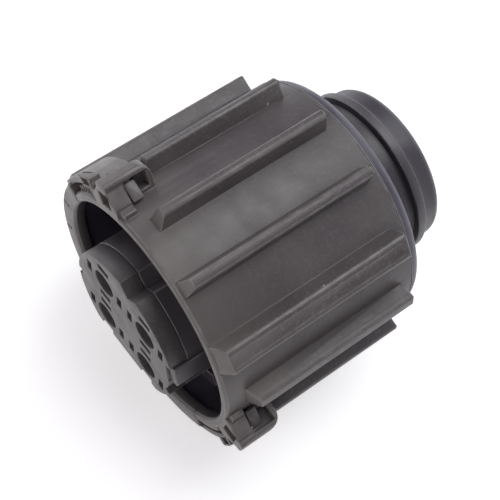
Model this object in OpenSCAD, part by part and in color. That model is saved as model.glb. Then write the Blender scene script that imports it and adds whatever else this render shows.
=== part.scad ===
// Four-way circular connector with a twist-lock coupling ring of two clipped halves.
// Every piece is drawn about the connector's own axis, mouth at zero and rear end above,
// and is then laid on its side to rest on two ribs of the ring.

/* [Coupling ring] */
// Length of the ring from its mouth to its rear edge
ring_len = 26.6; // [26:0.1:30]
// Inner radius of the ring's mouth
mouth_r = 13.5; // [13.2:0.1:15]
// Wall of the ring at its mouth
ring_wall = 1.2; // [1.1:0.1:1.6]
// Length of the lip round the mouth
lip_len = 1.5; // [1:0.1:2.5]
// Depth of the recess behind the lip
lip_depth = 0.45; // [0.2:0.05:0.6]
// Thickness of the ring's rear wall
rear_wall = 1.8; // [1.4:0.1:2.2]
// Rounding of the rear shoulder
shoulder_round = 1.7; // [1:0.1:2]
// Fine step where the rear shoulder begins
shoulder_step = 0.08; // [0.05:0.01:0.15]
// Height of the band round the mouth of the half with the hooks
band_h = 1.2; // [0.6:0.1:1.2]
// Length of that band
band_len = 2; // [1.4:0.1:2.4]
// Angle taken up by the ring half that carries the latch boxes
box_half_angle = 198; // [188:1:204]
// Clockwise place of that half's middle, seen from the rear
box_half_middle = -73.6; // [-90:0.2:-60]
// Gap at the two parting lines of the ring
parting_gap = 0.12; // [0.05:0.01:0.25]
// Thickness of the inner rib that holds the ring on the housing
hold_rib_t = 2; // [1.5:0.1:3]

/* [Grip ribs] */
// Height of the ribs above the ring's wall
rib_h = 1.95; // [1.6:0.05:2.4]
// Angle between the two middle ribs of the half with the latch boxes
box_half_middle_pitch = 31.4; // [28:0.1:33]
// Angle between its other ribs
box_half_rib_pitch = 27.4; // [26:0.1:28]
// Angle from rib to rib on the half with the hooks
hook_half_rib_pitch = 30.2; // [28:0.1:31]
// Width of a slim rib at its tip
slim_rib_w = 1.3; // [1:0.1:1.6]
// Width of a stout rib at its tip
stout_rib_w = 1.9; // [1.7:0.1:2.6]
// Width of the broad rib at its tip
broad_rib_w = 3; // [2.6:0.1:4]
// Growth of a rib on each flank from its tip to its foot
rib_draft = 0.25; // [0.1:0.05:0.4]
// Rounding along the edges of the ribs
rib_round = 0.55; // [0.3:0.05:0.6]
// Distance from the ring's rear edge to the rear ends of the ribs
rib_rear_gap = 2.2; // [1.8:0.1:3]
// Cut at the rear of the ribs that run on from the latch boxes
latch_rib_cut = 0.6; // [0:0.1:1]
// Smooth band ahead of the plain ribs
rib_front_gap = 2.2; // [1:0.1:3]
// Slope along the axis at the front end of a rib
rib_front_slope = 1; // [0.5:0.1:1.5]
// Slope along the axis at the rear end of a rib
rib_rear_slope = 0.6; // [0.3:0.1:1.2]

/* [Latches] */
// Angle from the parting line back to the middle of a latch box
box_setback = 36; // [34:0.5:38]
// Thickness of a latch box's loop round the ring
box_w = 1.8; // [1.6:0.1:2.2]
// Height of a latch box above the ring's wall
box_h = 3.2; // [3:0.1:3.6]
// Length of a latch box along the ring
box_len = 5.4; // [5.2:0.1:6]
// Length of the gusset that stiffens a latch box at the front
box_front = 2; // [1.6:0.1:2.2]
// Width of that gusset at its foot
gusset_w = 5; // [4.4:0.1:5.2]
// Window of a latch box along the ring
window_len = 1.5; // [1.3:0.1:1.8]
// Height of that window above the ring's wall
window_h = 1.9; // [1.8:0.1:2.1]
// Thickness of a hook arm
arm_t = 0.7; // [0.5:0.05:0.8]
// Space between a hook arm and the wall below it
arm_lift = 0.95; // [0.8:0.05:1.1]
// Length of a hook arm along the ring
arm_len = 4.9; // [4:0.1:5]
// Thickened end of the wall under the lower hook arm
end_pad_h = 0.65; // [0.4:0.05:0.65]

/* [Bayonet] */
// Number of inner locking lugs
lug_count = 3; // [3:1:3]
// Angle that a lug takes up
lug_angle = 22; // [12:1:26]
// Height of a lug inside the recess
lug_h = 1.6; // [1:0.1:2]
// Distance of the lugs behind the mouth
lug_z = 4.5; // [3:0.1:6]
// Thickness of a lug along the axis
lug_t = 2.2; // [1.5:0.1:3]
// Turn of the ring from open to locked
twist_range = 40; // [20:1:50]
// Angle that the stop key takes up
stop_angle = 12; // [8:1:16]

/* [Housing] */
// Radius of the contact carrier that stands in the ring's mouth
carrier_r = 8.8; // [8.6:0.1:9]
// Reach of the carrier's face ahead of the ring's mouth
carrier_reach = 2.5; // [1.5:0.1:4]
// Turn of the carrier's contact grid about the axis
carrier_turn = -22.6; // [-45:0.2:45]
// Distance from the carrier's middle to its flat side
flat_y = 6.85; // [6.8:0.05:7.4]
// Width of the keyed notch across from the flat side
keyway_w = 3; // [2:0.1:3.6]
// Depth of that notch
keyway_depth = 1.4; // [0.6:0.1:1.5]
// Width of the key rib beside the carrier
key_w = 3; // [2:0.1:4]
// Height of the key rib
key_h = 0.2; // [0.1:0.05:0.5]
// Distance of the front flange behind the mouth
flange_z = 14; // [12:0.2:16]
// Thickness of each flange
flange_t = 2.4; // [1.8:0.1:3]
// Radius of the housing's body between and behind the flanges
body_r = 11.2; // [10.8:0.1:11.6]
// Radius of the neck that leaves the ring
neck_r = 9.2; // [9.1:0.05:9.3]
// Length of bare neck behind the ring
neck_len = 3.4; // [1.5:0.1:4]
// Radius of the collar behind the neck
collar_r = 10.1; // [9.8:0.1:10.8]
// Thickness of that collar
collar_t = 1.1; // [0.9:0.1:3]
// Radius of the tail behind the collar
tail_r = 9.5; // [9.4:0.1:9.7]
// Length of the tail behind the collar
tail_len = 2.7; // [2:0.1:6]
// Rounding of the tail's rear edge
tail_round = 1.1; // [0.5:0.1:1.3]

/* [Contacts] */
// Distance between neighbouring contacts
contact_pitch = 7.4; // [7:0.1:7.8]
// Radius of the pin holes in the front plate
pin_hole_r = 1.65; // [1.4:0.05:1.8]
// Radius of the mating pin
pin_r = 1.25; // [1:0.05:1.3]
// Wall of the contact's socket
socket_wall = 0.35; // [0.25:0.05:0.4]
// Length of the contact's socket
socket_len = 9; // [7:0.1:10]
// Height of the shoulder that seats a contact in its cavity
seat_h = 0.5; // [0.4:0.05:0.6]
// Length of the crimp barrel
crimp_len = 6.5; // [4:0.1:7]
// Radius of the bore for a wire seal
seal_bore_r = 2.9; // [2.6:0.05:3.1]
// Length of a wire seal
wire_seal_len = 8; // [6:0.1:8.5]
// Radius of the wire that a seal is made for
wire_r = 1; // [0.7:0.05:1.4]

/* [Front plate] */
// Thickness of the plate that locks the contacts
plate_t = 2.2; // [1.6:0.1:3]
// Length of the slots round each pin hole
slot_l = 1.9; // [1.4:0.1:2.2]
// Width of those slots
slot_w = 0.85; // [0.6:0.05:1]
// Distance of the slots from the middle of their pin hole
slot_offset = 2.75; // [2.4:0.05:2.8]
// Pull of the plate from locked to released
plate_travel = 1.5; // [0.8:0.1:2.5]
// Length of the locking cross behind the plate
cross_len = 7; // [5:0.1:10]
// Width of the cross's arms
cross_w = 1.4; // [1:0.1:1.6]
// Reach of the cross's arms from the middle
cross_reach = 2.3; // [1.8:0.1:2.4]
// Height of the catches at the ends of the cross's arms
catch_h = 0.3; // [0.2:0.05:0.4]
// Length of those catches
catch_len = 1.2; // [0.8:0.1:2]

/* [Seal and fits] */
// Thickness of the ring seal at the foot of the carrier
ring_seal_t = 2; // [1.5:0.1:3]
// Clearance between pieces that move past each other
run_gap = 0.3; // [0.2:0.05:0.4]
// Clearance between pieces that are set in one another
set_gap = 0.1; // [0.05:0.01:0.15]
// Small edge break at the ring's mouth
edge_break = 0.3; // [0.1:0.05:0.5]

/* [Hidden] */
$fn = 96;
eps = 0.01;

// Radii of the ring, from the recess out to the rib tips
recess_r = mouth_r + lip_depth;
ring_r = mouth_r + ring_wall;
rib_tip_r = ring_r + rib_h;
box_r = ring_r + box_h;
arm_r = ring_r + arm_lift;

// Places along the ring, counted from its mouth
round_z = ring_len - shoulder_round;
rib_end_z = ring_len - rib_rear_gap;
hole_r = neck_r + run_gap;
recess_end_z = ring_len - rear_wall;
inner_chamfer = shoulder_round / 2;
wall_mid_r = ring_r - ring_wall / 2;
arm_front_z = edge_break + set_gap;
rib_front_z = set_gap;
slim_front_z = edge_break + set_gap;

// Flanges on either side of the ring's holding rib
flange_r = recess_r - run_gap;
hold_rib_z = flange_z + flange_t + run_gap;
rear_flange_z = hold_rib_z + hold_rib_t + run_gap;
hold_rib_r = body_r + run_gap;
body_end_z = recess_end_z - run_gap;
collar_z = ring_len + neck_len;
tail_z = collar_z + collar_t;
tail_end_z = tail_z + tail_len;

// Front plate and carrier
plate_front_z = -carrier_reach;
plate_back_z = plate_front_z + plate_t;
keyway_place = 6;
key_place = -10.6;
key_root = 1;
key_groove_angle = 24;
key_groove_depth = 0.8;
slot_pocket_len = 3;
side_notch_depth = 0.6;
side_notch_w = 1;
cut_margin = 1;

// Pocket of the locking cross, long enough for the plate's pull
cross_end_z = plate_back_z + cross_len;
catch_z = cross_end_z - catch_len;
catch_room_z = catch_z - plate_travel - set_gap;
pocket_room = 0.5;
pocket_end_z = cross_end_z + pocket_room;

// Contact cavity, from the plate to the rear
socket_r = pin_r + socket_wall;
socket_gap = 0.25;
cavity_front_r = socket_r + socket_gap;
seat_r = socket_r + seat_h;
cavity_r = seat_r + set_gap;
socket_setback = 1;
socket_z = plate_back_z + socket_setback;
seat_z = socket_z + socket_len;
seat_t = 1.2;
socket_floor = 0.8;
shank_len = 3.5;
crimp_z = seat_z + seat_t + shank_len;
crimp_end_z = crimp_z + crimp_len;
seal_gap = 1;
seal_bore_z = crimp_end_z + seal_gap;
wire_seal_r = seal_bore_r - set_gap;
wire_bead_count = 3;
ring_bead_places = [0.2, 0.5, 0.8];

// Angles of the ring halves, ribs and latches
hook_half_angle = 360 - box_half_angle;
hook_half_middle = box_half_middle + 180;
parting_angle = parting_gap / ring_r * 180 / PI;
half_spread = [for (k = [0:2]) box_half_middle_pitch / 2 + k * box_half_rib_pitch];
hook_half_ribs = [for (i = [0:5]) hook_half_middle + (i - 2.5) * hook_half_rib_pitch];
rest_angle = hook_half_middle - hook_half_rib_pitch;
lug_places = [for (i = [0:lug_count - 1]) box_half_middle + i * 360 / lug_count];
stop_place = hook_half_middle;
stop_play = 1;

// Latch boxes and hook arms, as small lengths and angles from the parting line
box_edge_round = 0.5;
box_rear_round = 1.5;
box_slot_h = 1.85;
gusset_far_shift = 0.5;
foot_pad_h = 0.7;
foot_pad_angle = 11;
arm_root_angle = hook_half_angle / 2 - 2.5 * hook_half_rib_pitch;
arm_end_gap = 0.25;
arm_end_angle = box_setback - atan((gusset_w / 2 + arm_end_gap) / arm_r);
arm_overlap = 0.6;
barb_rise = 0.3;
barb_len = 0.8;
barb_foot = 0.3;
rest_pad_angle = 6;
ridge_count = 5;
ridge_pitch = 2.6;
ridge_w = 0.3;
wing_h = 0.6;
wing_angle = 5.5;
wing_w = 2.8;
wing_len = 1.6;
wing_low_len = 0.6;
wing_pocket_w = 1.8;
wing_pocket_h = 0.5;
wing_pocket_depth = 0.6;
slit_w = 0.3;
rim_slit_places = [42.5, 62];
rim_slit_depth = 1.4;

// Colours of the plastics, metal and rubber
moulding = [0.17, 0.16, 0.16];
carrier_black = [0.14, 0.13, 0.14];
seal_red = [0.45, 0.16, 0.11];
tin = [0.72, 0.7, 0.66];

// Lays the connector on its side, mouth towards -X and the rest angle downwards.
module lay() {
    rotate([0, 90, 0]) rotate([0, 0, -rest_angle]) children();
}

// Turns a shape to an angle round the axis.
module at_angle(a) {
    rotate([0, 0, a]) children();
}

// Part of a ring between two radii, two heights and two angles.
module ring_sector(r0, r1, z0, z1, a0, a1) {
    at_angle(a0) rotate_extrude(angle = a1 - a0) translate([r0, z0]) square([r1 - r0, z1 - z0]);
}

// Square-cornered length of a two-sided profile, drawn radius by height, across the tangent.
module across(w) {
    translate([0, w / 2, 0]) rotate([90, 0, 0]) linear_extrude(w) children();
}

// Contact places on the carrier's grid, numbered one to four.
function contact_place(i) = [
    (i % 2 == 1 ? -1 : 1) * contact_pitch / 2,
    (i <= 2 ? -1 : 1) * contact_pitch / 2
];

// Grip ribs

// Section of a rib: drafted flanks and a tip with rounded edges.
module rib_section(w, round_r) {
    round_x = rib_tip_r - round_r;
    foot = w / 2 + rib_draft;
    polygon([
        [wall_mid_r, -foot], [ring_r, -foot], [round_x, -w / 2],
        [round_x, w / 2], [ring_r, foot], [wall_mid_r, foot]
    ]);
    translate([wall_mid_r, round_r - w / 2]) square([rib_tip_r - wall_mid_r, w - 2 * round_r]);
    for (s = [-1, 1]) translate([round_x, s * (w / 2 - round_r)]) circle(round_r);
}

// Side view of a rib: both ends slope down into the ring's wall.
module rib_side(z0, z1) {
    polygon([
        [wall_mid_r, z0], [rib_tip_r + eps, z0 + rib_front_slope],
        [rib_tip_r + eps, z1 - rib_rear_slope], [wall_mid_r, z1]
    ]);
}

// Plan of a rib, seen along the radius, with rounded rear corners.
module rib_plan(w, z0, z1) {
    corner = min(w * 2 / 5, rib_h);
    translate([z0, -w / 2]) square([z1 - z0 - corner, w]);
    translate([z0, corner - w / 2]) square([z1 - z0, w - 2 * corner]);
    for (s = [-1, 1]) translate([z1 - corner, s * (w / 2 - corner)]) circle(corner);
}

// One grip rib from one height to another.
module rib(w, z0, z1) {
    foot_w = w + 2 * rib_draft;
    intersection() {
        translate([0, 0, z0]) linear_extrude(z1 - z0) rib_section(w, min(rib_round, w / 2 - eps));
        across(foot_w + 2 * eps) rib_side(z0, z1);
        translate([rib_tip_r + eps, 0, 0]) rotate([0, -90, 0])
            linear_extrude(rib_tip_r) rib_plan(foot_w + 2 * eps, z0, z1);
    }
}

// Ring wall and its inner shape

// Outline of the ring from its axis outwards, with a rounded rear shoulder behind a fine step.
module ring_outside() {
    shoulder_r = ring_r - shoulder_step;
    polygon([
        [0, 0], [ring_r - edge_break, 0], [ring_r, edge_break], [ring_r, round_z], [0, round_z]
    ]);
    translate([0, round_z - eps]) square([shoulder_r - shoulder_round, shoulder_round + eps]);
    intersection() {
        translate([shoulder_r - shoulder_round, round_z]) circle(shoulder_round);
        translate([0, round_z - eps]) square([shoulder_r, shoulder_round + eps]);
    }
}

// Hollow of the ring: mouth, recess with a chamfered rear corner, and the hole for the neck.
module ring_inside() {
    polygon([
        [0, -eps], [mouth_r + edge_break, -eps], [mouth_r, edge_break], [mouth_r, lip_len],
        [recess_r, lip_len], [recess_r, recess_end_z - inner_chamfer],
        [recess_r - inner_chamfer, recess_end_z], [hole_r, recess_end_z],
        [hole_r, ring_len + eps], [0, ring_len + eps]
    ]);
}

// Bare shell of one ring half.
module ring_shell(middle, angle) {
    at_angle(middle - angle / 2 + parting_angle / 2)
        rotate_extrude(angle = angle - parting_angle) difference() {
            ring_outside();
            ring_inside();
        }
}

// Inner rib between the housing's flanges, from one angle to another.
module hold_rib(a0, a1) {
    ring_sector(hold_rib_r, (recess_r + ring_r) / 2, hold_rib_z, hold_rib_z + hold_rib_t, a0, a1);
}

// Locking lug inside the ring.
module lug(a) {
    ring_sector(recess_r - lug_h, (recess_r + ring_r) / 2, lug_z, lug_z + lug_t,
        a - lug_angle / 2, a + lug_angle / 2);
}

// Latches between the ring halves, drawn for an end whose parting line is at zero
// and whose latch box lies back from it on the side of smaller angles

// Loop of a latch box, with rounded outer edges and a round rear corner.
module box_loop() {
    edge_y = box_w / 2 - box_edge_round;
    intersection() {
        linear_extrude(box_len) union() {
            translate([wall_mid_r, -box_w / 2]) square([box_r - box_edge_round - wall_mid_r, box_w]);
            translate([wall_mid_r, -edge_y]) square([box_r - wall_mid_r, 2 * edge_y]);
            for (s = [-1, 1]) translate([box_r - box_edge_round, s * edge_y]) circle(box_edge_round);
        }
        across(box_w + 2 * eps) union() {
            translate([wall_mid_r, -eps]) square([box_r - box_rear_round - wall_mid_r, box_len + eps]);
            translate([wall_mid_r, -eps]) square([box_r - wall_mid_r + eps, box_len - box_rear_round + eps]);
            translate([box_r - box_rear_round, box_len - box_rear_round]) circle(box_rear_round);
        }
    }
}

// Gusset at the front of a latch box: a hump that slopes down on both sides of the loop.
module box_gusset() {
    foot_r = ring_r + foot_pad_h;
    linear_extrude(box_front) polygon([
        [wall_mid_r, gusset_w / 2], [foot_r, gusset_w / 2], [box_r - set_gap, box_w / 4],
        [box_r - set_gap, -box_w / 4], [foot_r, gusset_far_shift - gusset_w / 2],
        [wall_mid_r, gusset_far_shift - gusset_w / 2]
    ]);
}

// Latch box: a loop with a window for the hook, a gusset and a cored slot in its front.
module latch_box() {
    slot_r = ring_r + set_gap;
    slot_width = box_w + set_gap;
    foot_pad_start = asin(slot_width / ring_r);
    at_angle(-box_setback) difference() {
        union() {
            box_loop();
            box_gusset();
        }
        translate([wall_mid_r - eps, -gusset_w, box_front + set_gap])
            cube([ring_r + window_h - wall_mid_r, 2 * gusset_w, window_len]);
        translate([slot_r, -slot_width / 2, -eps]) cube([box_slot_h, slot_width, box_front + 2 * set_gap]);
    }
    ring_sector(wall_mid_r, ring_r + foot_pad_h - set_gap, arm_front_z, box_front - set_gap,
        -box_setback - foot_pad_angle, -box_setback - foot_pad_start);
}

// Hook of an arm: a tongue through the latch box's window with a sloping barb behind it.
module hook() {
    tongue_r = ring_r + window_h - 2 * set_gap;
    low_r = ring_r + 2 * set_gap;
    tongue_y = gusset_w / 2 + arm_overlap;
    barb_y = -box_w / 2 - set_gap;
    at_angle(-box_setback) translate([0, 0, box_front + 2 * set_gap])
        linear_extrude(window_len - 2 * set_gap) polygon([
            [low_r, tongue_y], [tongue_r, tongue_y], [tongue_r, barb_y], [tongue_r + barb_rise, barb_y],
            [low_r + barb_foot, barb_y - barb_len], [low_r, barb_y - barb_len]
        ]);
}

// Raised wing near the end of a hook arm: its rear edge runs aslant, deeper towards the latch box.
module arm_wing() {
    wing_r = arm_r + arm_t + wing_h;
    wing_z = arm_front_z - 2 * set_gap;
    translate([wing_r, 0, 0]) rotate([0, -90, 0]) linear_extrude(wing_r - arm_r - set_gap) polygon([
        [wing_z, -wing_w / 2], [wing_len, -wing_w / 2], [wing_low_len, wing_w / 2], [wing_z, wing_w / 2]
    ]);
}

// Hook arm that springs from the other half's end rib, over the wall and into the latch box.
module hook_arm() {
    arm_outer = arm_r + arm_t;
    wing_place = wing_angle - arm_end_angle;
    difference() {
        union() {
            ring_sector(arm_r, arm_outer, arm_front_z, arm_len, -arm_end_angle, arm_root_angle);
            at_angle(wing_place) arm_wing();
            hook();
        }
        at_angle(wing_place) translate([arm_outer - wing_pocket_h, -wing_pocket_w / 2, 0])
            cube([2 * wing_pocket_h, wing_pocket_w, arm_front_z + wing_pocket_depth]);
    }
}

// Rest under the end of a hook arm, and fine ridges on the wall between it and the parting line.
module arm_rest() {
    pad_end = -arm_end_angle;
    ring_sector(wall_mid_r, arm_r - set_gap, arm_front_z, box_front, pad_end, pad_end + rest_pad_angle);
    for (k = [1:ridge_count]) at_angle(pad_end + rest_pad_angle + k * ridge_pitch)
        translate([wall_mid_r, -ridge_w / 2, arm_front_z + set_gap])
            cube([arm_r - 3 * set_gap - wall_mid_r, ridge_w, arm_len / 2]);
}

// Places a latch shape at both ends of the ring half: first the lower end, then its mirror image.
module at_both_ends() {
    at_angle(box_half_middle + box_half_angle / 2) children();
    at_angle(box_half_middle - box_half_angle / 2) mirror([0, 1, 0]) children();
}

// Ring halves

// Ring half with the latch boxes.
module ring_half_boxes() {
    latch_rib_z = arm_len + run_gap;
    upper_widths = [slim_rib_w, slim_rib_w, slim_rib_w];
    lower_widths = [broad_rib_w, stout_rib_w, slim_rib_w];
    upper_starts = [slim_front_z, rib_front_gap, latch_rib_z];
    lower_starts = [rib_front_z, rib_front_gap, latch_rib_z];
    ends = [rib_end_z, rib_end_z - latch_rib_cut / 2, rib_end_z - latch_rib_cut];
    lower_end = box_half_middle + box_half_angle / 2;
    color(moulding) lay() {
        ring_shell(box_half_middle, box_half_angle);
        hold_rib(lower_end - box_half_angle + parting_angle, lower_end - parting_angle);
        for (k = [0:2]) {
            at_angle(box_half_middle - half_spread[k]) rib(upper_widths[k], upper_starts[k], ends[k]);
            at_angle(box_half_middle + half_spread[k]) rib(lower_widths[k], lower_starts[k], ends[k]);
        }
        at_both_ends() latch_box();
        at_angle(lower_end - box_half_angle) mirror([0, 1, 0]) arm_rest();
        lug(lug_places[0]);
        ring_sector(wall_mid_r, ring_r + end_pad_h, arm_front_z, arm_len,
            lower_end - box_setback / 2, lower_end - parting_angle);
    }
}

// Band round the mouth of the half with the hooks, with fine slits in its front.
module mouth_band() {
    start = hook_half_middle - hook_half_angle / 2 + parting_angle;
    band_r = ring_r + band_h;
    difference() {
        at_angle(start) rotate_extrude(angle = hook_half_angle - 2 * parting_angle) polygon([
            [wall_mid_r, 0], [band_r - edge_break, 0], [band_r, edge_break],
            [band_r, band_len], [wall_mid_r, band_len]
        ]);
        for (a = rim_slit_places) at_angle(hook_half_middle + a)
            translate([band_r - rim_slit_depth, -slit_w / 2, -eps])
                cube([2 * rim_slit_depth, slit_w, band_len / 2]);
    }
}

// Ring half with the hook arms. Its inner rib leaves room for the housing's stop key over the whole turn.
module ring_half_hooks() {
    lower_end = hook_half_middle - hook_half_angle / 2 + parting_angle;
    upper_end = hook_half_middle + hook_half_angle / 2 - parting_angle;
    stop_reach = stop_angle / 2 + stop_play;
    color(moulding) lay() {
        ring_shell(hook_half_middle, hook_half_angle);
        mouth_band();
        hold_rib(lower_end, stop_place - stop_reach);
        hold_rib(stop_place + stop_reach + twist_range, upper_end);
        for (a = hook_half_ribs) at_angle(a) rib(stout_rib_w, rib_front_z, rib_end_z);
        lug(lug_places[1]);
        lug(lug_places[2]);
        at_both_ends() hook_arm();
    }
}

// Housing and what it holds

// Outline of the contact carrier: round, with a flat side, a keyed notch across from it and a groove.
module carrier_outline() {
    groove_r = carrier_r - key_groove_depth;
    groove_start = key_place + asin(key_w / 2 / carrier_r);
    difference() {
        circle(carrier_r);
        translate([-carrier_r, flat_y]) square(2 * carrier_r);
        rotate(keyway_place) polygon([
            [-keyway_w / 2, -carrier_r - cut_margin], [-keyway_w / 2, -carrier_r],
            [0, keyway_depth - carrier_r], [keyway_w / 2, -carrier_r],
            [keyway_w / 2, -carrier_r - cut_margin]
        ]);
        translate([-carrier_r - eps, 0]) square([side_notch_depth, side_notch_w]);
        rotate(groove_start) intersection() {
            difference() {
                circle(carrier_r + cut_margin);
                circle(groove_r);
            }
            square(2 * carrier_r);
            rotate(key_groove_angle - 90) square(2 * carrier_r);
        }
    }
}

// Key rib on the carrier's side, widened on all sides by a gap.
module key_rib(gap) {
    at_angle(key_place) translate([carrier_r - key_root - gap, -key_w / 2 - gap])
        square([key_root + key_h + 2 * gap, key_w + 2 * gap]);
}

// Slots round the pin holes, four to each.
module contact_slots() {
    for (i = [1:4], q = [0:90:270]) translate(contact_place(i)) rotate(q) translate([slot_offset, 0])
        square([slot_w, slot_l], center = true);
}

// Arms of the cross that locks the contacts, lengthened for its catches and widened by a gap.
module cross_outline(extra, gap) {
    for (q = [0, 90]) rotate(q)
        square([2 * (cross_reach + extra + gap), cross_w + 2 * gap], center = true);
}

// Section of the neck, collar and tail, with a rounded rear edge.
module tail_section() {
    translate([0, flange_z]) square([neck_r, tail_z - flange_z]);
    translate([0, collar_z]) square([collar_r, collar_t]);
    translate([0, collar_z]) square([tail_r, tail_end_z - tail_round - collar_z]);
    translate([0, collar_z]) square([tail_r - tail_round, tail_end_z - collar_z]);
    translate([tail_r - tail_round, tail_end_z - tail_round]) circle(tail_round);
}

// Stepped cavity for one contact and its wire seal.
module contact_cavity() {
    translate([0, 0, plate_back_z - eps]) cylinder(r = cavity_front_r, h = seat_z - plate_back_z + 2 * eps);
    translate([0, 0, seat_z]) cylinder(r = cavity_r, h = seal_bore_z - seat_z + eps);
    translate([0, 0, seal_bore_z]) cylinder(r = seal_bore_r, h = tail_end_z - seal_bore_z + eps);
}

// Housing: contact carrier, two flanges, body and tail in one moulding.
module housing() {
    key_z = plate_front_z + edge_break;
    color(carrier_black) lay() difference() {
        union() {
            at_angle(carrier_turn) translate([0, 0, plate_back_z])
                linear_extrude(flange_z - plate_back_z + eps) carrier_outline();
            at_angle(carrier_turn) translate([0, 0, key_z])
                linear_extrude(flange_z - key_z + eps) key_rib(0);
            translate([0, 0, flange_z]) cylinder(r = flange_r, h = flange_t);
            translate([0, 0, rear_flange_z]) cylinder(r = flange_r, h = flange_t);
            translate([0, 0, flange_z]) cylinder(r = body_r, h = body_end_z - flange_z);
            rotate_extrude() tail_section();
            ring_sector(body_r - eps, flange_r - run_gap, flange_z + flange_t - eps, rear_flange_z + eps,
                stop_place - stop_angle / 2, stop_place + stop_angle / 2);
        }
        at_angle(carrier_turn) {
            for (i = [1:4]) translate(contact_place(i)) contact_cavity();
            translate([0, 0, plate_back_z - eps])
                linear_extrude(pocket_end_z - plate_back_z + eps) cross_outline(0, set_gap);
            translate([0, 0, catch_room_z])
                linear_extrude(pocket_end_z - catch_room_z) cross_outline(catch_h, set_gap);
            translate([0, 0, plate_back_z - eps])
                linear_extrude(slot_pocket_len + eps) contact_slots();
        }
    }
}

// Front plate that locks the contacts, with its cross set in the carrier.
module front_plate() {
    color(carrier_black) lay() at_angle(carrier_turn) {
        translate([0, 0, plate_front_z]) linear_extrude(plate_t) difference() {
            carrier_outline();
            key_rib(set_gap);
            for (i = [1:4]) translate(contact_place(i)) circle(pin_hole_r);
            contact_slots();
        }
        translate([0, 0, plate_back_z - eps]) linear_extrude(cross_len + eps) cross_outline(0, 0);
        translate([0, 0, catch_z]) linear_extrude(catch_len) cross_outline(catch_h, 0);
    }
}

// Ring seal that lies on the front flange round the foot of the carrier.
module ring_seal() {
    inner = carrier_r + key_h + run_gap;
    outer = flange_r - 2 * run_gap;
    bead = ring_seal_t / 4;
    color(seal_red) lay() translate([0, 0, flange_z - ring_seal_t]) rotate_extrude() {
        translate([inner, bead]) square([outer - inner, ring_seal_t - bead]);
        for (f = ring_bead_places) translate([inner + f * (outer - inner), bead]) circle(bead);
    }
}

// Socket contact with a slit socket, a seating shoulder and an open crimp barrel.
module contact(i) {
    shank_r = (socket_r + wire_r) / 2 + set_gap;
    lead_in = socket_wall - set_gap;
    color(tin) lay() at_angle(carrier_turn) translate(contact_place(i)) difference() {
        union() {
            translate([0, 0, socket_z]) cylinder(r = socket_r, h = socket_len);
            translate([0, 0, seat_z]) cylinder(r = seat_r, h = seat_t);
            translate([0, 0, seat_z]) cylinder(r = shank_r, h = crimp_end_z - seat_z);
        }
        translate([0, 0, socket_z - eps]) cylinder(r = pin_r, h = socket_len - socket_floor);
        translate([0, 0, socket_z - eps]) cylinder(r1 = pin_r + lead_in, r2 = pin_r, h = lead_in);
        translate([-2 * socket_r, -slit_w / 2, socket_z - eps])
            cube([4 * socket_r, slit_w, socket_len / 2]);
        translate([0, 0, crimp_z]) cylinder(r = wire_r, h = crimp_len + eps);
        translate([-slit_w / 2, 0, crimp_z]) cube([slit_w, 2 * socket_r, crimp_len + eps]);
    }
}

// Wire seal with three sealing beads.
module wire_seal(i) {
    bead = wire_seal_len / (2 * wire_bead_count + 1);
    color(seal_red) lay() at_angle(carrier_turn) translate(contact_place(i))
        translate([0, 0, seal_bore_z]) rotate_extrude() {
            translate([wire_r, 0]) square([wire_seal_r - bead / 2 - wire_r, wire_seal_len]);
            for (k = [1:wire_bead_count])
                translate([wire_seal_r - bead / 2, (2 * k - 0.5) * bead]) circle(bead / 2);
        }
}

housing();
front_plate();
ring_seal();
ring_half_boxes();
ring_half_hooks();
for (i = [1:4]) contact(i);
for (i = [1:4]) wire_seal(i);
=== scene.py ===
"""Looks of a four-way twist-lock connector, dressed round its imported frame."""
import logging
import math
from dataclasses import dataclass, field
from enum import Enum
from typing import Sequence, Union

import bpy
from mathutils import Matrix, Vector


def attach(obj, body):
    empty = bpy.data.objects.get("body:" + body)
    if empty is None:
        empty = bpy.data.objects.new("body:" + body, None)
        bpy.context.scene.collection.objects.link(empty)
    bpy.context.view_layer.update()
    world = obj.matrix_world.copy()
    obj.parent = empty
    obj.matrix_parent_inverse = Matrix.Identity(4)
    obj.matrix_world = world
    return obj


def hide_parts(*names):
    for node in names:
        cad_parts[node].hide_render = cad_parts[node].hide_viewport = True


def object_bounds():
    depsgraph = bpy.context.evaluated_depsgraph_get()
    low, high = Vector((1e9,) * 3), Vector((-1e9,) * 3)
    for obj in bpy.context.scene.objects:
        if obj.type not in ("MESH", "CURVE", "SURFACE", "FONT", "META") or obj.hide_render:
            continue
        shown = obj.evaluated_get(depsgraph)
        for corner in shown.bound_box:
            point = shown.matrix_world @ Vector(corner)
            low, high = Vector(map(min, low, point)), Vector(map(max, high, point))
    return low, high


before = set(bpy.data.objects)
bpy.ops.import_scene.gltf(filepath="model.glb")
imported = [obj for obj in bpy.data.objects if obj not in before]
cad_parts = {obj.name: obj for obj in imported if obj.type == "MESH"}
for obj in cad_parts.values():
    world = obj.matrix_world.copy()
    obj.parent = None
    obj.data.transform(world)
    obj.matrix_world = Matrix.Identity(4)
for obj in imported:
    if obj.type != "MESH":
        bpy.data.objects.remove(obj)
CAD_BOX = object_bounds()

LOG = logging.getLogger("connector")
MM = 0.001
# face attribute of pale outer edges: partly wear, partly painted highlight
WEAR_AND_HIGHLIGHT = "edge_wear_and_highlight"
# face attribute of painted shade in the concave creases, partly dirt
CREASE_SHADE = "edge_crease_shade"
MOTTLE = (0.35, 0.65)

Colour = tuple[float, float, float]
Span = tuple[float, float]
Stretch = tuple[float, float, float]


class Body(Enum):
    """Bodies of the frame that pieces ride on."""

    HOUSING = "housing"
    RING = "coupling_ring"
    PLATE = "front_plate"


class Slot(Enum):
    """Material slots of the record."""

    RING = "ring_plastic"
    CARRIER = "carrier_plastic"
    SEAL = "seal_rubber"
    CONTACT = "contact_metal"


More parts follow.
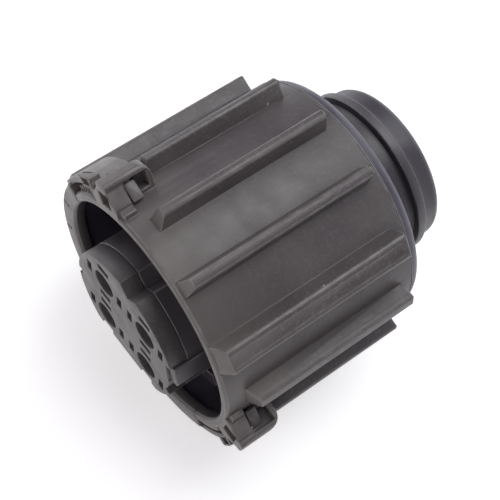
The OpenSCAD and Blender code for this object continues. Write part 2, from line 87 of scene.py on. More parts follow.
class NodeSketch:
    """Small helper that lays out a material's nodes."""

    def __init__(self, name: str) -> None:
        """Starts an empty node tree.

        Args:
            name: name of the material.
        """
        self.material = bpy.data.materials.new(name)
        self.material.use_nodes = True
        self.tree = self.material.node_tree
        self.tree.nodes.clear()
        self.output = self.tree.nodes.new("ShaderNodeOutputMaterial")
        self.shader = self.tree.nodes.new("ShaderNodeBsdfPrincipled")
        self.link(self.shader.outputs["BSDF"], self.output.inputs["Surface"])
        self.coords = self.tree.nodes.new("ShaderNodeTexCoord").outputs["Object"]

    def link(self, source: bpy.types.NodeSocket, target: bpy.types.NodeSocket) -> None:
        """Joins two sockets."""
        self.tree.links.new(source, target)

    def node(self, kind: str, **settings: object) -> bpy.types.Node:
        """Adds a node with its settings.

        Args:
            kind: Blender's name of the node.
            settings: properties of the node.

        Returns:
            The new node.
        """
        made = self.tree.nodes.new(kind)
        for key, value in settings.items():
            setattr(made, key, value)
        return made

    def scaled(self, stretch: Sequence[float]) -> bpy.types.NodeSocket:
        """Scales the object coordinates along each axis.

        Args:
            stretch: scale along each axis.

        Returns:
            The scaled coordinates' socket.
        """
        mapping = self.node("ShaderNodeMapping")
        mapping.inputs["Scale"].default_value = stretch
        self.link(self.coords, mapping.inputs["Vector"])
        return mapping.outputs["Vector"]

    def noise(self, scale: float, detail: float = 2.0,
              stretch: Sequence[float] = (1, 1, 1)) -> bpy.types.NodeSocket:
        """Adds a noise pattern on object coordinates.

        Args:
            scale: grains per metre.
            detail: layers of finer noise.
            stretch: scale along each axis.

        Returns:
            The pattern's value socket.
        """
        made = self.node("ShaderNodeTexNoise")
        made.inputs["Scale"].default_value = scale
        made.inputs["Detail"].default_value = detail
        self.link(self.scaled(stretch), made.inputs["Vector"])
        return made.outputs["Fac"]

    def radius(self) -> bpy.types.NodeSocket:
        """Gives the distance from the connector's axis.

        Returns:
            The distance's socket, in metres.
        """
        made = self.node("ShaderNodeVectorMath", operation="LENGTH")
        self.link(self.scaled((0, 1, 1)), made.inputs[0])
        return made.outputs["Value"]

    def along(self) -> bpy.types.NodeSocket:
        """Gives the place along the connector's axis.

        Returns:
            The place's socket, in metres.
        """
        made = self.node("ShaderNodeSeparateXYZ")
        self.link(self.coords, made.inputs[0])
        return made.outputs["X"]

    def mark(self, name: str) -> bpy.types.NodeSocket:
        """Reads a value that a piece carries on its faces.

        Args:
            name: name of the attribute.

        Returns:
            The value's socket.
        """
        return self.node("ShaderNodeAttribute", attribute_name=name).outputs["Fac"]

    def span(self, value: bpy.types.NodeSocket, low: float, high: float,
             to_low: float = 0.0, to_high: float = 1.0) -> bpy.types.NodeSocket:
        """Spreads a value from one range to another, held at both ends.

        Args:
            value: socket to spread.
            low: start of the range that is read.
            high: end of that range.
            to_low: result at the start.
            to_high: result at the end.

        Returns:
            The result's socket.
        """
        made = self.node("ShaderNodeMapRange", clamp=True)
        made.inputs["From Min"].default_value = low
        made.inputs["From Max"].default_value = high
        made.inputs["To Min"].default_value = to_low
        made.inputs["To Max"].default_value = to_high
        self.link(value, made.inputs["Value"])
        return made.outputs["Result"]

    def sums(self, operation: str, first: bpy.types.NodeSocket,
             second: Union[bpy.types.NodeSocket, float]) -> bpy.types.NodeSocket:
        """Adds a math node.

        Args:
            operation: Blender's name of the sum.
            first: socket of the first value.
            second: socket or number of the second value.

        Returns:
            The result's socket.
        """
        made = self.node("ShaderNodeMath", operation=operation)
        self.link(first, made.inputs[0])
        if isinstance(second, (int, float)):
            made.inputs[1].default_value = second
        else:
            self.link(second, made.inputs[1])
        return made.outputs[0]

    def blend(self, share: bpy.types.NodeSocket, first: Union[bpy.types.NodeSocket, Colour],
              second: Union[bpy.types.NodeSocket, Colour]) -> bpy.types.NodeSocket:
        """Mixes two colours.

        Args:
            share: socket that says how much of the second colour shows.
            first: colour or colour socket.
            second: colour or colour socket.

        Returns:
            The mixed colour's socket.
        """
        made = self.node("ShaderNodeMix", data_type="RGBA")
        self.link(share, made.inputs["Factor"])
        for value, socket in ((first, made.inputs[6]), (second, made.inputs[7])):
            if isinstance(value, bpy.types.NodeSocket):
                self.link(value, socket)
            else:
                socket.default_value = (*value, 1.0)
        return made.outputs[2]

    def bump(self, height: bpy.types.NodeSocket, depth: float, strength: float = 1.0) -> None:
        """Lets a height pattern tilt the surface.

        Args:
            height: socket of the pattern.
            depth: height of the pattern in metres.
            strength: share of the tilt that shows.
        """
        made = self.node("ShaderNodeBump")
        made.inputs["Distance"].default_value = depth
        made.inputs["Strength"].default_value = strength
        self.link(height, made.inputs["Height"])
        self.link(made.outputs["Normal"], self.shader.inputs["Normal"])


@dataclass(frozen=True)
class ToneZone:
    """Stretch of a moulding painted in another tone, between two places along the axis and out from it; most
    zones are painted light and shade.
    """

    colour: Colour
    share: float
    along_mm: Span
    out_mm: Span = (100.0, 99.0)

    def amount(self, sketch: NodeSketch) -> bpy.types.NodeSocket:
        """Lays out how much of the zone's tone shows.

        Args:
            sketch: node tree of the finish.

        Returns:
            The share's socket, from nothing at each first place to all at each second.
        """
        along = sketch.span(sketch.along(), self.along_mm[0] * MM, self.along_mm[1] * MM, 0.0, self.share)
        out = sketch.span(sketch.radius(), self.out_mm[0] * MM, self.out_mm[1] * MM)
        return sketch.sums("MULTIPLY", along, out)


@dataclass(frozen=True)
class MouldedPlastic:
    """Satin moulded plastic with mottling, fine grain, pale edges that are partly wear and partly painted
    highlight, painted shade in creases, zones of another tone that are mostly painted light and shade, dust
    and handling marks.
    """

    name: str
    deep: Colour
    lit: Colour
    # pale colour of outer edges: partly wear, partly painted highlight
    worn_and_highlight: Colour = (0.20, 0.19, 0.185)
    # colour of painted shade in the concave creases, partly dirt
    crease_shade: Colour = (0.030, 0.026, 0.032)
    dust: Colour = (0.34, 0.33, 0.31)
    zones: tuple[ToneZone, ...] = ()
    roughness: float = 0.42
    rough_spread: Span = (0.06, 0.08)
    specular: float = 0.5
    cloud_scale: float = 140.0
    rough_scale: float = 420.0
    bump_scale: float = 4200.0
    grain_scale: float = 2600.0
    grain_span: Span = (0.5, 0.78)
    grain_gain: float = 1.7
    streak_scale: float = 900.0
    streak_stretch: Stretch = (0.06, 1.0, 1.0)
    streak_span: Span = (0.55, 0.8)
    streak_share: float = 0.4
    streak_gain: float = 1.35
    patch_scale: float = 110.0
    patch_span: Span = (0.52, 0.7)
    crease_shade_share: float = 0.6
    wear_and_highlight_scale: float = 700.0
    wear_and_highlight_span: Span = (0.36, 0.62)
    wear_and_highlight_least: float = 0.25
    speck_scale: float = 520.0
    speck_span: Span = (0.05, 0.11)
    speck_strength: float = 0.8
    grain_depth: float = 0.000008
    grain_share: float = 0.36
    rib_grain_share: float = 0.75
    rib_from_mm: float = 15.0
    rib_to_mm: float = 16.2
    wear_and_highlight_share: float = 0.75
    speck_share: float = 0.08

    def material(self) -> bpy.types.Material:
        """Builds the material."""
        sketch = NodeSketch(self.name)
        cloud = sketch.noise(self.cloud_scale, 4.0)
        colour = sketch.blend(sketch.span(cloud, *MOTTLE), self.deep, self.lit)
        colour = sketch.blend(self._streaks(sketch), colour, tuple(self.streak_gain * c for c in self.lit))
        colour = sketch.blend(self._grain(sketch), colour, tuple(self.grain_gain * c for c in self.lit))
        for zone in self.zones:
            colour = sketch.blend(zone.amount(sketch), colour, zone.colour)
        # painted shade in the concave creases, partly dirt
        crease_shaded = sketch.sums("MULTIPLY", sketch.mark(CREASE_SHADE), self.crease_shade_share)
        colour = sketch.blend(crease_shaded, colour, self.crease_shade)
        # pale outer edges: partly wear, partly painted highlight
        colour = sketch.blend(self._edges(sketch), colour, self.worn_and_highlight)
        colour = sketch.blend(self._specks(sketch), colour, self.dust)
        sketch.link(colour, sketch.shader.inputs["Base Color"])
        less, more = self.rough_spread
        rough = sketch.span(sketch.noise(self.rough_scale, 3.0), 0.3, 0.7,
                            self.roughness - less, self.roughness + more)
        sketch.link(rough, sketch.shader.inputs["Roughness"])
        sketch.shader.inputs["Specular IOR Level"].default_value = self.specular
        sketch.bump(sketch.noise(self.bump_scale, 3.0), self.grain_depth)
        return sketch.material

    def _streaks(self, sketch: NodeSketch) -> bpy.types.NodeSocket:
        """Faint lighter marks along the axis, as from pulling out of the mould."""
        lines = sketch.noise(self.streak_scale, 3.0, self.streak_stretch)
        patches = sketch.span(sketch.noise(self.patch_scale, 2.0), *self.patch_span)
        return sketch.sums("MULTIPLY", sketch.span(lines, *self.streak_span, 0.0, self.streak_share), patches)

    def _grain(self, sketch: NodeSketch) -> bpy.types.NodeSocket:
        """Fine light grain, stronger on the ribs that hands rub."""
        grain = sketch.span(sketch.noise(self.grain_scale, 3.0), *self.grain_span)
        amount = sketch.span(sketch.radius(), self.rib_from_mm * MM, self.rib_to_mm * MM,
                             self.grain_share, self.rib_grain_share)
        return sketch.sums("MULTIPLY", grain, amount)

    def _edges(self, sketch: NodeSketch) -> bpy.types.NodeSocket:
        """Pale broken lines along the outer edges: partly wear and partly painted highlight."""
        breaks = sketch.span(sketch.noise(self.wear_and_highlight_scale, 4.0), *self.wear_and_highlight_span,
                             self.wear_and_highlight_least, self.wear_and_highlight_share)
        return sketch.sums("MULTIPLY", sketch.mark(WEAR_AND_HIGHLIGHT), breaks)

    def _specks(self, sketch: NodeSketch) -> bpy.types.NodeSocket:
        """Sparse small specks of pale dust."""
        cells = sketch.node("ShaderNodeTexVoronoi", feature="F1")
        cells.inputs["Scale"].default_value = self.speck_scale
        sketch.link(sketch.coords, cells.inputs["Vector"])
        dots = sketch.span(cells.outputs["Distance"], *self.speck_span, 1.0, 0.0)
        parts = sketch.node("ShaderNodeSeparateColor")
        sketch.link(cells.outputs["Color"], parts.inputs["Color"])
        chosen = sketch.span(parts.outputs["Red"], 1.0 - self.speck_share, 1.0 - self.speck_share * 0.8)
        return sketch.sums("MULTIPLY", dots, sketch.sums("MULTIPLY", chosen, self.speck_strength))


@dataclass(frozen=True)
class SealRubber:
    """Soft silicone with a faint bloom."""

    name: str = "red_silicone"
    deep: Colour = (0.16, 0.035, 0.022)
    lit: Colour = (0.24, 0.058, 0.034)
    cloud_scale: float = 260.0
    grain_scale: float = 3600.0
    grain_depth: float = 0.000008
    roughness: Span = (0.5, 0.64)
    specular: float = 0.4

    def material(self) -> bpy.types.Material:
        """Builds the material."""
        sketch = NodeSketch(self.name)
        cloud = sketch.noise(self.cloud_scale, 3.0)
        tone = sketch.blend(sketch.span(cloud, *MOTTLE), self.deep, self.lit)
        sketch.link(tone, sketch.shader.inputs["Base Color"])
        sketch.link(sketch.span(cloud, 0.3, 0.7, *self.roughness), sketch.shader.inputs["Roughness"])
        sketch.shader.inputs["Specular IOR Level"].default_value = self.specular
        sketch.bump(sketch.noise(self.grain_scale, 2.0), self.grain_depth)
        return sketch.material


@dataclass(frozen=True)
class TinnedContact:
    """Tin-plated contact metal with drawn marks."""

    name: str = "tinned_contact"
    deep: Colour = (0.42, 0.40, 0.36)
    lit: Colour = (0.62, 0.60, 0.55)
    mark_scale: float = 2400.0
    mark_stretch: Stretch = (0.08, 1.0, 1.0)
    mark_depth: float = 0.000004
    roughness: Span = (0.26, 0.4)

    def material(self) -> bpy.types.Material:
        """Builds the material."""
        sketch = NodeSketch(self.name)
        drawn = sketch.noise(self.mark_scale, 3.0, self.mark_stretch)
        tone = sketch.blend(sketch.span(drawn, *MOTTLE), self.deep, self.lit)
        sketch.link(tone, sketch.shader.inputs["Base Color"])
        sketch.link(sketch.span(drawn, 0.3, 0.7, *self.roughness), sketch.shader.inputs["Roughness"])
        sketch.shader.inputs["Metallic"].default_value = 1.0
        sketch.bump(drawn, self.mark_depth)
        return sketch.material


@dataclass(frozen=True)
class StudioCamera:
    """Camera at the photo's place, in the part's own frame."""

    place_mm: tuple[float, float, float] = (-33.349, -32.720, 131.504)
    right: tuple[float, float, float] = (0.79647, -0.58788, 0.14152)
    up: tuple[float, float, float] = (0.50721, 0.77696, 0.37292)
    back: tuple[float, float, float] = (-0.32919, -0.22524, 0.91701)
    lens_mm: float = 93.6
    sensor_mm: float = 36.0
    near_clip: float = 0.005
    far_clip: float = 20.0

    def build(self) -> bpy.types.Object:
        """Adds the camera and makes it the scene's own.

        Returns:
            The camera object.
        """
        data = bpy.data.cameras.new("photo_camera")
        data.lens = self.lens_mm
        data.sensor_width = self.sensor_mm
        data.clip_start = self.near_clip
        data.clip_end = self.far_clip
        made = bpy.data.objects.new("photo_camera", data)
        bpy.context.scene.collection.objects.link(made)
        turn = Matrix((self.right, self.up, self.back)).transposed().to_4x4()
        turn.translation = Vector(self.place_mm) * MM
        made.matrix_world = turn
        bpy.context.scene.camera = made
        return made


@dataclass(frozen=True)
class SoftLamp:
    """One square soft lamp that looks at the connector."""

    name: str
    azimuth_deg: float
    height_deg: float
    power: float
    colour: Colour = (1.0, 1.0, 1.0)
    distance: float = 0.5
    size: float = 0.35

    def build(self, target: Vector) -> None:
        """Adds the lamp.

        Args:
            target: point that the lamp looks at.
        """
        data = bpy.data.lights.new(self.name, "AREA")
        data.shape = "SQUARE"
        data.size = self.size
        data.energy = self.power
        data.color = self.colour
        made = bpy.data.objects.new(self.name, data)
        bpy.context.scene.collection.objects.link(made)
        turn, rise = math.radians(self.azimuth_deg), math.radians(self.height_deg)
        way = Vector((math.cos(rise) * math.cos(turn), math.cos(rise) * math.sin(turn), math.sin(rise)))
        made.location = target + way * self.distance
        made.rotation_euler = way.to_track_quat("Z", "Y").to_euler()


@dataclass(frozen=True)
class Studio:
    """Plain pale floor, soft lamps and world light."""

    floor_size: float = 3.0
    floor_colour: Colour = (0.8, 0.8, 0.8)
    floor_roughness: float = 0.9
    floor_lift: float = 0.45
    floor_reach: Span = (0.09, 0.5)
    world_strength: float = 0.09
    world_colour: Colour = (0.5, 0.4, 1.0)
    lamps: tuple[SoftLamp, ...] = (
        SoftLamp("key_lamp", 20.0, 68.0, 1.6),
        SoftLamp("rear_lamp", 10.0, 20.0, 0.8, (0.9, 0.93, 1.0)),
        SoftLamp("side_lamp", 90.0, 21.0, 0.85, (0.97, 0.97, 1.0)),
        SoftLamp("front_fill", 215.0, 27.0, 0.6, (1.0, 0.96, 0.9)),
        SoftLamp("mouth_fill", 175.0, 30.0, 0.75, (1.0, 0.95, 0.85)),
        SoftLamp("near_fill", 310.0, 24.0, 0.36),
    )

    def build(self, low: Vector, high: Vector) -> None:
        """Adds floor, lamps and world.

        Args:
            low: lowest corner of the connector.
            high: highest corner of the connector.
        """
        self._floor(low.z)
        middle = (low + high) / 2
        for lamp in self.lamps:
            lamp.build(middle)
        world = bpy.data.worlds.new("studio_world")
        bpy.context.scene.world = world
        world.use_nodes = True
        background = world.node_tree.nodes["Background"]
        background.inputs["Color"].default_value = (*self.world_colour, 1.0)
        background.inputs["Strength"].default_value = self.world_strength
        LOG.info("built studio with %d lamps", len(self.lamps))

    def _floor(self, height: float) -> None:
        """Lays the floor under the connector.

        Args:
            height: height of the floor in metres.
        """
        bpy.ops.object.select_all(action="DESELECT")
        bpy.ops.mesh.primitive_plane_add(size=self.floor_size, location=(0.0, 0.0, height))
        floor = bpy.context.object
        floor.name = "studio_floor"
        floor.data.materials.append(self._floor_material())

    def _floor_material(self) -> bpy.types.Material:
        """Pale floor that reads as white to the camera and keeps the shadow."""
        sketch = NodeSketch("pale_floor")
        sketch.shader.inputs["Base Color"].default_value = (*self.floor_colour, 1.0)
        sketch.shader.inputs["Roughness"].default_value = self.floor_roughness
        path = sketch.node("ShaderNodeLightPath")
        seen = sketch.sums("MAXIMUM", path.outputs["Is Camera Ray"], path.outputs["Is Glossy Ray"])
        seen = sketch.sums("MAXIMUM", seen, path.outputs["Is Transmission Ray"])
        sketch.shader.inputs["Emission Color"].default_value = (1.0, 1.0, 1.0, 1.0)
        away = sketch.node("ShaderNodeVectorMath", operation="LENGTH")
        sketch.link(sketch.coords, away.inputs[0])
        lift = sketch.span(away.outputs["Value"], *self.floor_reach, self.floor_lift, 1.0)
        sketch.link(sketch.sums("MULTIPLY", seen, lift), sketch.shader.inputs["Emission Strength"])
        return sketch.material


@dataclass
class Moulding:
    """Copy of a moulded CAD node with rounded edges, pale where worn and where a highlight is painted, darker
    where crease shade is painted, which stands for that node.
    """

    node: str
    body: Body
    slot: Slot
    edge_mm: float = 0.15
    segments: int = 3
    edge_angle_deg: float = 30.0
    stray_mm: float = 0.06
    thrown_mm: float = 0.3
    edge_mark_mm: float = 0.03
    sliver_mm: float = 0.004
    crest_from_mm: float = 15.9
    # pale band on rib crests: painted highlight, partly wear
    crest_wear_and_highlight: float = 0.8
    crest_lean_deg: float = 42.0
    crest_spread_deg: float = 30.0
    step_mm: float = 24.9
    step_reach_mm: float = 0.12
    step_from_mm: float = 14.4
    join_mm: float = 0.002
    smooth_deg: float = 40.0

    def build(self, finish: bpy.types.Material) -> bpy.types.Object:
        """Makes and dresses the piece.

        Args:
            finish: material of the piece.

        Returns:
            The finished piece.
        """
        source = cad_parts[self.node]
        piece = self._copy(source, f"{self.node}_moulding")
        self._merge(piece)
        self._shape(piece)
        sharp = self._copy(piece, f"{self.node}_sharp")
        bpy.context.view_layer.update()
        self._round_edges(piece, finish)
        self._settle(piece, sharp)
        self._mark_edges(piece, sharp)
        bpy.data.objects.remove(sharp)
        bpy.ops.object.shade_smooth_by_angle(angle=math.radians(self.smooth_deg))
        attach(piece, self.body.value)
        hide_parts(self.node)
        LOG.info("built %s with %d faces", piece.name, len(piece.data.polygons))
        return piece

    def _shape(self, piece: bpy.types.Object) -> None:
        """Adds forms finer than the CAD node's; a plain moulding has none."""

    def _stays_crisp(self, point: Vector) -> bool:
        """Tells whether an edge end at a point is left without rounding; a plain moulding rounds all."""
        return False

    def _copy(self, source: bpy.types.Object, name: str) -> bpy.types.Object:
        """Copies an object as a free piece.

        Args:
            source: object to copy.
            name: name of the copy.

        Returns:
            The copy, with a mesh of its own.
        """
        piece = source.copy()
        piece.data = source.data.copy()
        piece.name = name
        piece.parent = None
        for key in list(piece.keys()):
            del piece[key]
        bpy.context.scene.collection.objects.link(piece)
        return piece

    def _merge(self, piece: bpy.types.Object) -> None:
        """Joins the loose triangles."""
        pick(piece)
        bpy.ops.object.mode_set(mode="EDIT")
        bpy.ops.mesh.select_all(action="SELECT")
        bpy.ops.mesh.customdata_custom_splitnormals_clear()
        bpy.ops.mesh.remove_doubles(threshold=self.join_mm * MM)
        bpy.ops.object.mode_set(mode="OBJECT")

    def _round_edges(self, piece: bpy.types.Object, finish: bpy.types.Material) -> None:
        """Rounds the sharp edges and keeps the new faces on a second material slot.

        Args:
            piece: piece to round.
            finish: material of the piece.
        """
        pick(piece)
        piece.data.materials.clear()
        for _ in range(2):
            piece.data.materials.append(finish)
        bpy.ops.object.mode_set(mode="EDIT")
        bpy.ops.mesh.select_mode(type="EDGE")
        bpy.ops.mesh.select_all(action="DESELECT")
        bpy.ops.mesh.edges_select_sharp(sharpness=math.radians(self.edge_angle_deg))
        bpy.ops.object.mode_set(mode="OBJECT")
        for edge in piece.data.edges:
            if edge.select and all(self._stays_crisp(piece.data.vertices[end].co) for end in edge.vertices):
                edge.select = False
        bpy.ops.object.mode_set(mode="EDIT")
        bpy.ops.transform.edge_bevelweight(value=1.0)
        bpy.ops.object.mode_set(mode="OBJECT")
        bevel = piece.modifiers.new("edge_break", "BEVEL")
        bevel.width = self.edge_mm * MM
        bevel.segments = self.segments
        bevel.limit_method = "WEIGHT"
        bevel.use_clamp_overlap = False
        bevel.loop_slide = False
        bevel.material = 1
        bpy.ops.object.modifier_apply(modifier=bevel.name)

    def _settle(self, piece: bpy.types.Object, sharp: bpy.types.Object) -> None:
        """Lays points that the rounding threw clear of the moulding back on its surface.

        Args:
            piece: rounded piece.
            sharp: the same piece before the rounding.
        """
        points = piece.data.vertices
        places = [sharp.closest_point_on_mesh(point.co)[1] for point in points]
        gaps = [(place - point.co).length for place, point in zip(places, points)]
        thrown = {number for number, gap in enumerate(gaps) if gap > self.thrown_mm * MM}
        beside = {}
        for edge in piece.data.edges:
            for one, other in (edge.vertices, reversed(edge.vertices)):
                if one in thrown and other not in thrown:
                    beside.setdefault(one, other)
        for number, point in enumerate(points):
            if gaps[number] > self.stray_mm * MM:
                point.co = places[beside.get(number, number)]
        LOG.info("laid back %d points that the rounding threw far", len(thrown))
        bpy.ops.object.mode_set(mode="EDIT")
        bpy.ops.mesh.select_all(action="SELECT")
        bpy.ops.mesh.dissolve_degenerate(threshold=self.sliver_mm * MM)
        bpy.ops.object.mode_set(mode="OBJECT")

    def _mark_edges(self, piece: bpy.types.Object, sharp: bpy.types.Object) -> None:
        """Writes how far each rounded face lies inside or outside the sharp moulding, as pale wear with
        painted highlight outside and painted crease shade inside.

        Args:
            piece: rounded piece.
            sharp: the same piece before the rounding.
        """
        mesh = piece.data
        wear_and_highlight, crease_shade = [], []
        for face in mesh.polygons:
            depth = 0.0
            if face.material_index == 1:
                found, place, normal, _ = sharp.closest_point_on_mesh(face.center)
                depth = (place - face.center).dot(normal) if found else 0.0
            # outer rounded faces get pale wear with painted highlight
            wear_and_highlight.append(max(self._crest_wear_and_highlight(face), min(1.0, depth / (self.edge_mark_mm * MM))))
            # concave rounded faces get painted crease shade
            crease_shade.append(0.0 if wear_and_highlight[-1] > 0.5 else min(1.0, max(0.0, -depth / (self.edge_mark_mm * MM))))
            face.material_index = 0
        for name, values in ((WEAR_AND_HIGHLIGHT, wear_and_highlight), (CREASE_SHADE, crease_shade)):
            mesh.attributes.new(name, "FLOAT", "FACE").data.foreach_set("value", values)
        mesh.materials.pop(index=1)

    def _crest_wear_and_highlight(self, face: bpy.types.MeshPolygon) -> float:
        """Tells how pale a face on a rib's rounded crest or at the shoulder's step is painted, as painted
        highlight that is partly wear.

        Args:
            face: face of the piece.

        Returns:
            The paleness, which is greatest where a crest leans half way over.
        """
        out = Vector((0.0, face.center.y, face.center.z))
        near_step = abs(face.center.x / MM - self.step_mm) < self.step_reach_mm
        if near_step and out.length > self.step_from_mm * MM:
            return 1.0
        if out.length < self.crest_from_mm * MM:
            return 0.0
        lean = math.degrees(face.normal.angle(out, 0.0))
        return self.crest_wear_and_highlight * max(0.0, 1.0 - abs(lean - self.crest_lean_deg) / self.crest_spread_deg)


@dataclass(frozen=True)
class GripRib:
    """Place of one grip rib, whose rear end is rounded like a bull nose."""

    angle_deg: float
    half_width_mm: float
    rear_mm: float
    nose_mm: float = 0.75
    behind_mm: float = 24.5
    wall_mm: float = 14.703
    wall_room_mm: float = 0.15
    out_mm: Span = (13.8, 17.2)
    side_room_mm: float = 0.3
    block_room_mm: float = 0.5
    reach_room_mm: float = 0.9
    end_room_mm: float = 0.05
    rod_length_mm: float = 10.0
    wall_steps: int = 360
    nose_steps: int = 48

    def holds(self, point: Vector) -> bool:
        """Tells whether a point lies on the wall just round the rib's rear end.

        Args:
            point: point on the ring half.

        Returns:
            True on the wall where the end is cut.
        """
        reach = math.degrees((self.half_width_mm + self.reach_room_mm) / self.wall_mm)
        start = self.rear_mm - self.nose_mm - self.end_room_mm
        inside = start < point.x / MM < self.behind_mm + self.end_room_mm
        beside = abs(angle_round(point) - self.angle_deg) < reach
        return inside and beside and out_from_axis(point) < (self.wall_mm + self.wall_room_mm) * MM

    def cutter(self) -> bpy.types.Object:
        """Makes the block that rounds the rib's rear end: a box with a hollow of the nose's form.

        Returns:
            The block, in place.
        """
        start = self.rear_mm - self.nose_mm
        wide = self.half_width_mm + self.side_room_mm
        low, high = self.out_mm
        across = (-wide - self.block_room_mm, wide + self.block_room_mm)
        box = placed_block((start, self.behind_mm), across, self.out_mm, self.angle_deg)
        bpy.ops.object.select_all(action="DESELECT")
        bpy.ops.mesh.primitive_cylinder_add(
            vertices=self.wall_steps, radius=self.wall_mm * MM, depth=self.rod_length_mm * MM,
            rotation=(0.0, math.pi / 2, 0.0), location=(self.rear_mm * MM, 0.0, 0.0))
        wall = bpy.context.object
        bpy.ops.object.transform_apply(location=True, rotation=True, scale=True)
        carve(box, wall)
        turn = math.radians(self.angle_deg)
        out = (low + high) / 2
        bpy.ops.object.select_all(action="DESELECT")
        bpy.ops.mesh.primitive_cylinder_add(
            vertices=self.nose_steps, radius=1.0, depth=1.0, rotation=(turn - math.pi / 2, 0.0, 0.0),
            location=(start * MM, out * math.cos(turn) * MM, out * math.sin(turn) * MM))
        core = bpy.context.object
        core.scale = (self.nose_mm * MM, wide * MM, (high - low + 1.0) * MM)
        bpy.ops.object.transform_apply(location=True, rotation=True, scale=True)
        carve(box, core)
        return box


@dataclass
class RingHalf(Moulding):
    """One half of the coupling ring, with the fine forms of its ribs and latches."""

    ribs: tuple[GripRib, ...] = ()

    def _shape(self, piece: bpy.types.Object) -> None:
        """Rounds the ribs' rear ends and adds the half's own forms."""
        for rib in self.ribs:
            carve(piece, rib.cutter())
        self._detail(piece)

    def _stays_crisp(self, point: Vector) -> bool:
        """Leaves the hairline round a cut rib end without rounding."""
        return any(rib.holds(point) for rib in self.ribs)

    def _detail(self, piece: bpy.types.Object) -> None:
        """Adds the half's own forms."""


@dataclass
class BoxHalf(RingHalf):
    """Half with the latch boxes: wide latch windows and a dished broad rib."""

    dish_angle_deg: float = 135.9
    dish_half_mm: float = 0.62
    dish_land_mm: float = 0.82
    dish_depth_mm: float = 0.11
    dish_along_mm: tuple[float, ...] = (1.2, 1.6, 23.0, 23.3)
    dish_from_mm: float = 16.2
    dish_lean_deg: float = 5.0
    dish_margin_mm: float = 0.01
    dish_end_mm: float = 0.1
    windows: tuple[Span, ...] = ((57.2, 1.0), (183.2, -1.0))
    window_along_mm: Span = (2.1, 4.8)
    window_out_mm: Span = (15.2, 17.2)
    window_across_mm: Span = (-0.15, 1.05)

    def _detail(self, piece: bpy.types.Object) -> None:
        """Cuts the latch windows wider and dishes the broad rib."""
        for angle, way in self.windows:
            self._cut_window(piece, angle, way)
        self._dish(piece)

    def _cut_window(self, piece: bpy.types.Object, angle_deg: float, way: float) -> None:
        """Cuts one latch window wider on the side that is seen.

        Args:
            piece: the ring half.
            angle_deg: angle of the latch box's middle.
            way: side of the box that is cut, one way or the other round the ring.
        """
        across = sorted(way * place for place in self.window_across_mm)
        carve(piece, placed_block(self.window_along_mm, across, self.window_out_mm, angle_deg))

    def _dish(self, piece: bpy.types.Object) -> None:
        """Sinks the top of the broad rib a little inside its two crests."""
        pick(piece)
        turn = math.radians(self.dish_angle_deg)
        up = Vector((0.0, math.cos(turn), math.sin(turn)))
        side = Vector((0.0, -math.sin(turn), math.cos(turn)))
        sides = (-self.dish_land_mm, -self.dish_half_mm, self.dish_half_mm, self.dish_land_mm)
        lines = [(side, place) for place in sides]
        lines += [(Vector((1.0, 0.0, 0.0)), place) for place in self.dish_along_mm]
        for across, place in lines:
            bpy.ops.object.mode_set(mode="EDIT")
            bpy.ops.mesh.select_all(action="DESELECT")
            bpy.ops.object.mode_set(mode="OBJECT")
            for face in piece.data.polygons:
                flat = face.normal.angle(up, math.pi) < math.radians(self.dish_lean_deg)
                face.select = flat and face.center.dot(up) > self.dish_from_mm * MM
            bpy.ops.object.mode_set(mode="EDIT")
            bpy.ops.mesh.bisect(plane_co=across * place * MM, plane_no=across)
            bpy.ops.object.mode_set(mode="OBJECT")
        half = (self.dish_half_mm + self.dish_margin_mm) * MM
        first, last = self.dish_along_mm[0] * MM, (self.dish_along_mm[-1] - self.dish_end_mm) * MM
        for point in piece.data.vertices:
            on_top = point.co.dot(up) > self.dish_from_mm * MM
            if on_top and first < point.co.x < last and abs(point.co.dot(side)) < half:
                point.co -= up * self.dish_depth_mm * MM


@dataclass
class HookHalf(RingHalf):
    """Half with the hook arms, whose noses sit back in the latch windows."""

    noses: tuple[Span, ...] = ((60.65, -1.0), (179.75, 1.0))
    nose_reach_deg: float = 1.6
    nose_along_mm: Span = (2.1, 3.6)
    nose_from_mm: float = 15.0
    nose_back_deg: float = 1.8

    def _detail(self, piece: bpy.types.Object) -> None:
        """Sets the hook noses back."""
        first, last = (end * MM for end in self.nose_along_mm)
        for angle, way in self.noses:
            turn = Matrix.Rotation(math.radians(way * self.nose_back_deg), 3, "X")
            for point in piece.data.vertices:
                beside = abs(angle_round(point.co) - angle) < self.nose_reach_deg
                outside = out_from_axis(point.co) > self.nose_from_mm * MM
                if beside and outside and first <= point.co.x <= last:
                    point.co = turn @ point.co


